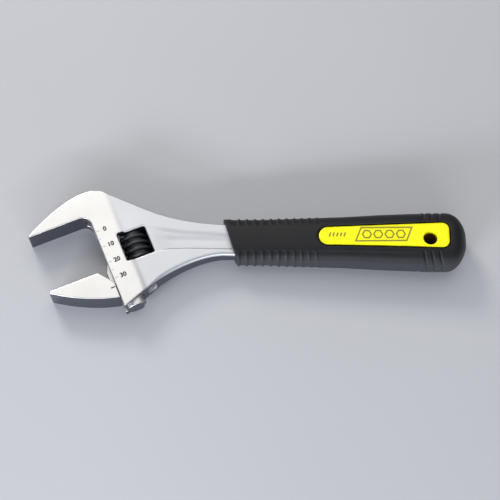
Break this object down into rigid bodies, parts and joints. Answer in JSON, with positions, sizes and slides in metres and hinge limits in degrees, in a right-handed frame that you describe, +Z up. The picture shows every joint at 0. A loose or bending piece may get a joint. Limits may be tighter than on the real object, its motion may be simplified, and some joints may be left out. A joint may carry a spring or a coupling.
{
  "type": "adjustable wrench",
  "caption": "Open-ended adjustable wrench with a sliding jaw moved by a thumb worm, a slanted wide-opening head and a rubber grip with a hanging hole.",
  "frame": {"origin": "centre of the fixed jaw's gripping face", "axes": "+X along the handle to its far end, +Y towards the head's back, +Z up out of the wrench's mid-plane; the jaw opens 67.5 degrees below +X, towards -Y"},
  "size_m": [0.2502, 0.0705, 0.024],
  "materials": {
    "satin_steel": "satin chrome over a forged body",
    "jaw_steel": "satin chrome with ground faces",
    "blackened_steel": "black phosphated steel",
    "pin_steel": "bright drawn steel",
    "black_rubber": "matt, fine grain, ribbed sides",
    "yellow_plastic": "glossy moulded"
  },
  "bodies": {
    "wrench_frame": {"body": "satin_steel", "worm_pin": "pin_steel", "worm_spring": "pin_steel", "grip_sleeve": "black_rubber", "front_inlay": "yellow_plastic", "back_inlay": "yellow_plastic"},
    "worm": {"adjusting_worm": "blackened_steel"},
    "jaw": {"movable_jaw": "jaw_steel"}
  },
  "joints": [
    {"name": "jaw_slide", "type": "slide", "parent": "wrench_frame", "child": "jaw", "axis": [0.3827, -0.9239, 0], "range_m": [-0.0349, 0.005]},
    {"name": "worm_turn", "type": "hinge", "parent": "wrench_frame", "child": "worm", "pos_m": [0.04709, -0.00864, 0], "axis": [0.3827, -0.9239, 0], "range_deg": [-3143, 452]}
  ],
  "couplings": [
    {"joint": "worm_turn", "follows": "jaw_slide", "rad_per_m": 1570.8}
  ]
}
